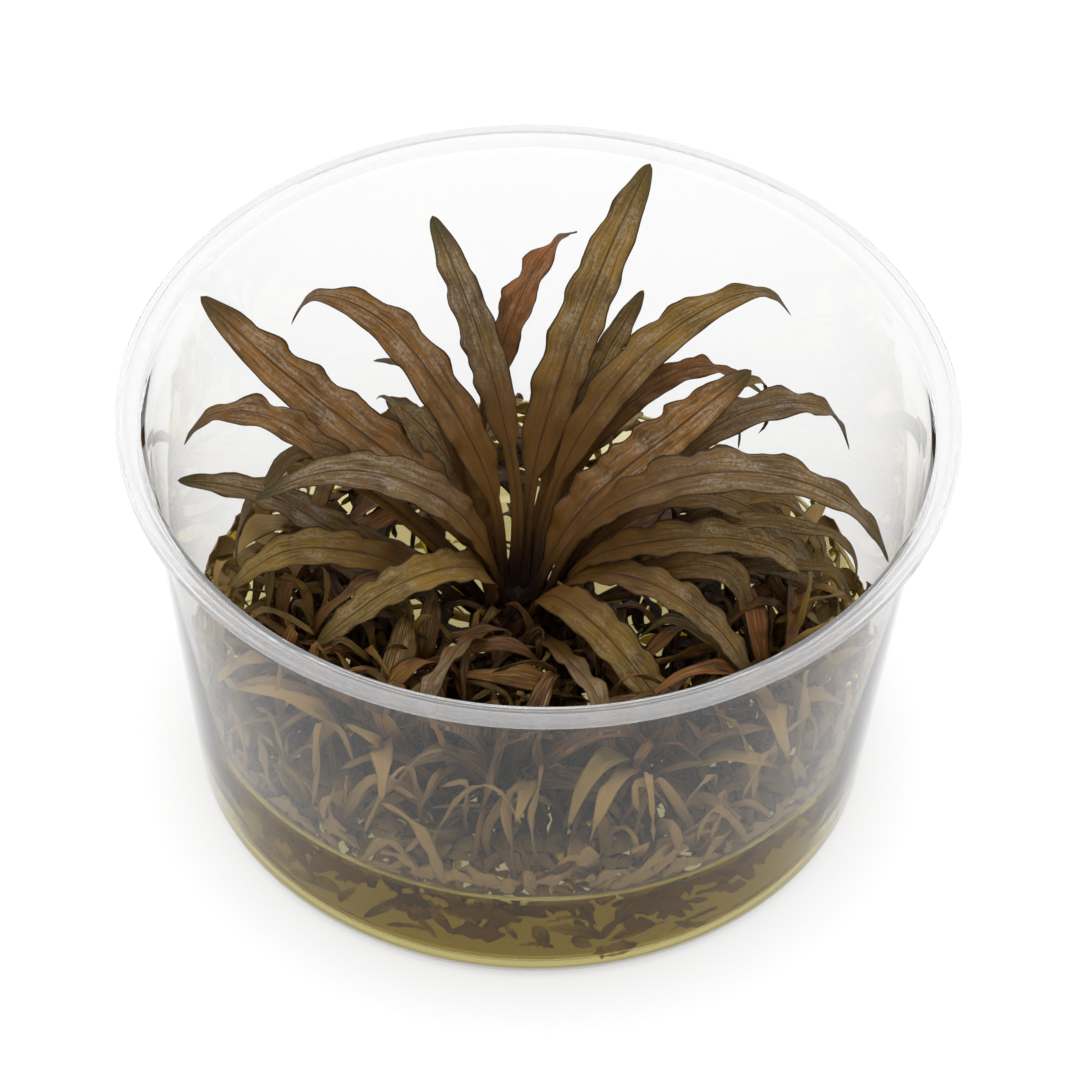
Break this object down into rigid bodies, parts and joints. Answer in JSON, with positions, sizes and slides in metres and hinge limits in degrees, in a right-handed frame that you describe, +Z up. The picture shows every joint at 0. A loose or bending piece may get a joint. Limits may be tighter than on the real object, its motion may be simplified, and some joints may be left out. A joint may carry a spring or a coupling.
{
  "type": "potted aquarium plant",
  "caption": "Rosette of narrow wavy-edged brown leaves over small plants, rooted in clear gel in a round clear cup with a stepped rim.",
  "frame": {"origin": "centre of the cup's foot ring, on the surface it stands on", "axes": "+Z up, -Y to the front of the cup, +X to its right"},
  "size_m": [0.101, 0.101, 0.0558],
  "materials": {
    "cup_clear": "clear, slightly milky moulded plastic",
    "gel_olive": "clear olive-yellow growing gel",
    "crown_brown": "matt brown rhizome",
    "leaf_brown": "satin leaf, orange-brown to grey-brown",
    "leaf_olive": "satin leaf, olive-brown"
  },
  "bodies": {
    "root": {"crown": "crown_brown", "cup": "cup_clear", "gel": "gel_olive", "leaf_back_left": "leaf_brown", "leaf_back_right": "leaf_brown", "leaf_back_rust": "leaf_brown", "leaf_back_tall": "leaf_brown", "leaf_front_broad": "leaf_olive", "leaf_front_left": "leaf_olive", "leaf_front_right": "leaf_olive", "leaf_left_arched": "leaf_brown", "leaf_left_back": "leaf_olive", "leaf_left_hooked": "leaf_brown", "leaf_left_long": "leaf_brown", "leaf_left_low": "leaf_olive", "leaf_left_tall": "leaf_brown", "leaf_left_under": "leaf_olive", "leaf_right_arched": "leaf_brown", "leaf_right_curled": "leaf_brown", "leaf_right_drooped": "leaf_olive", "leaf_right_folded": "leaf_olive", "leaf_right_long": "leaf_brown", "leaf_right_low": "leaf_olive", "leaf_right_red": "leaf_brown", "leaf_right_wide": "leaf_brown", "plantlet_back": "leaf_olive", "plantlet_back_left": "leaf_olive", "plantlet_back_right": "leaf_olive", "plantlet_front": "leaf_olive", "plantlet_front_left": "leaf_olive", "plantlet_front_right": "leaf_olive", "plantlet_inner_left": "leaf_olive", "plantlet_inner_right": "leaf_olive", "plantlet_left": "leaf_olive", "plantlet_left_back": "leaf_olive", "plantlet_right": "leaf_olive", "plantlet_right_front": "leaf_olive", "sunken_leaf_back_left": "leaf_olive", "sunken_leaf_back_right": "leaf_olive", "sunken_leaf_front": "leaf_olive", "sunken_leaf_front_left": "leaf_olive", "sunken_leaf_front_right": "leaf_olive", "sunken_leaf_left": "leaf_olive", "sunken_leaf_right": "leaf_olive"}
  },
  "joints": []
}
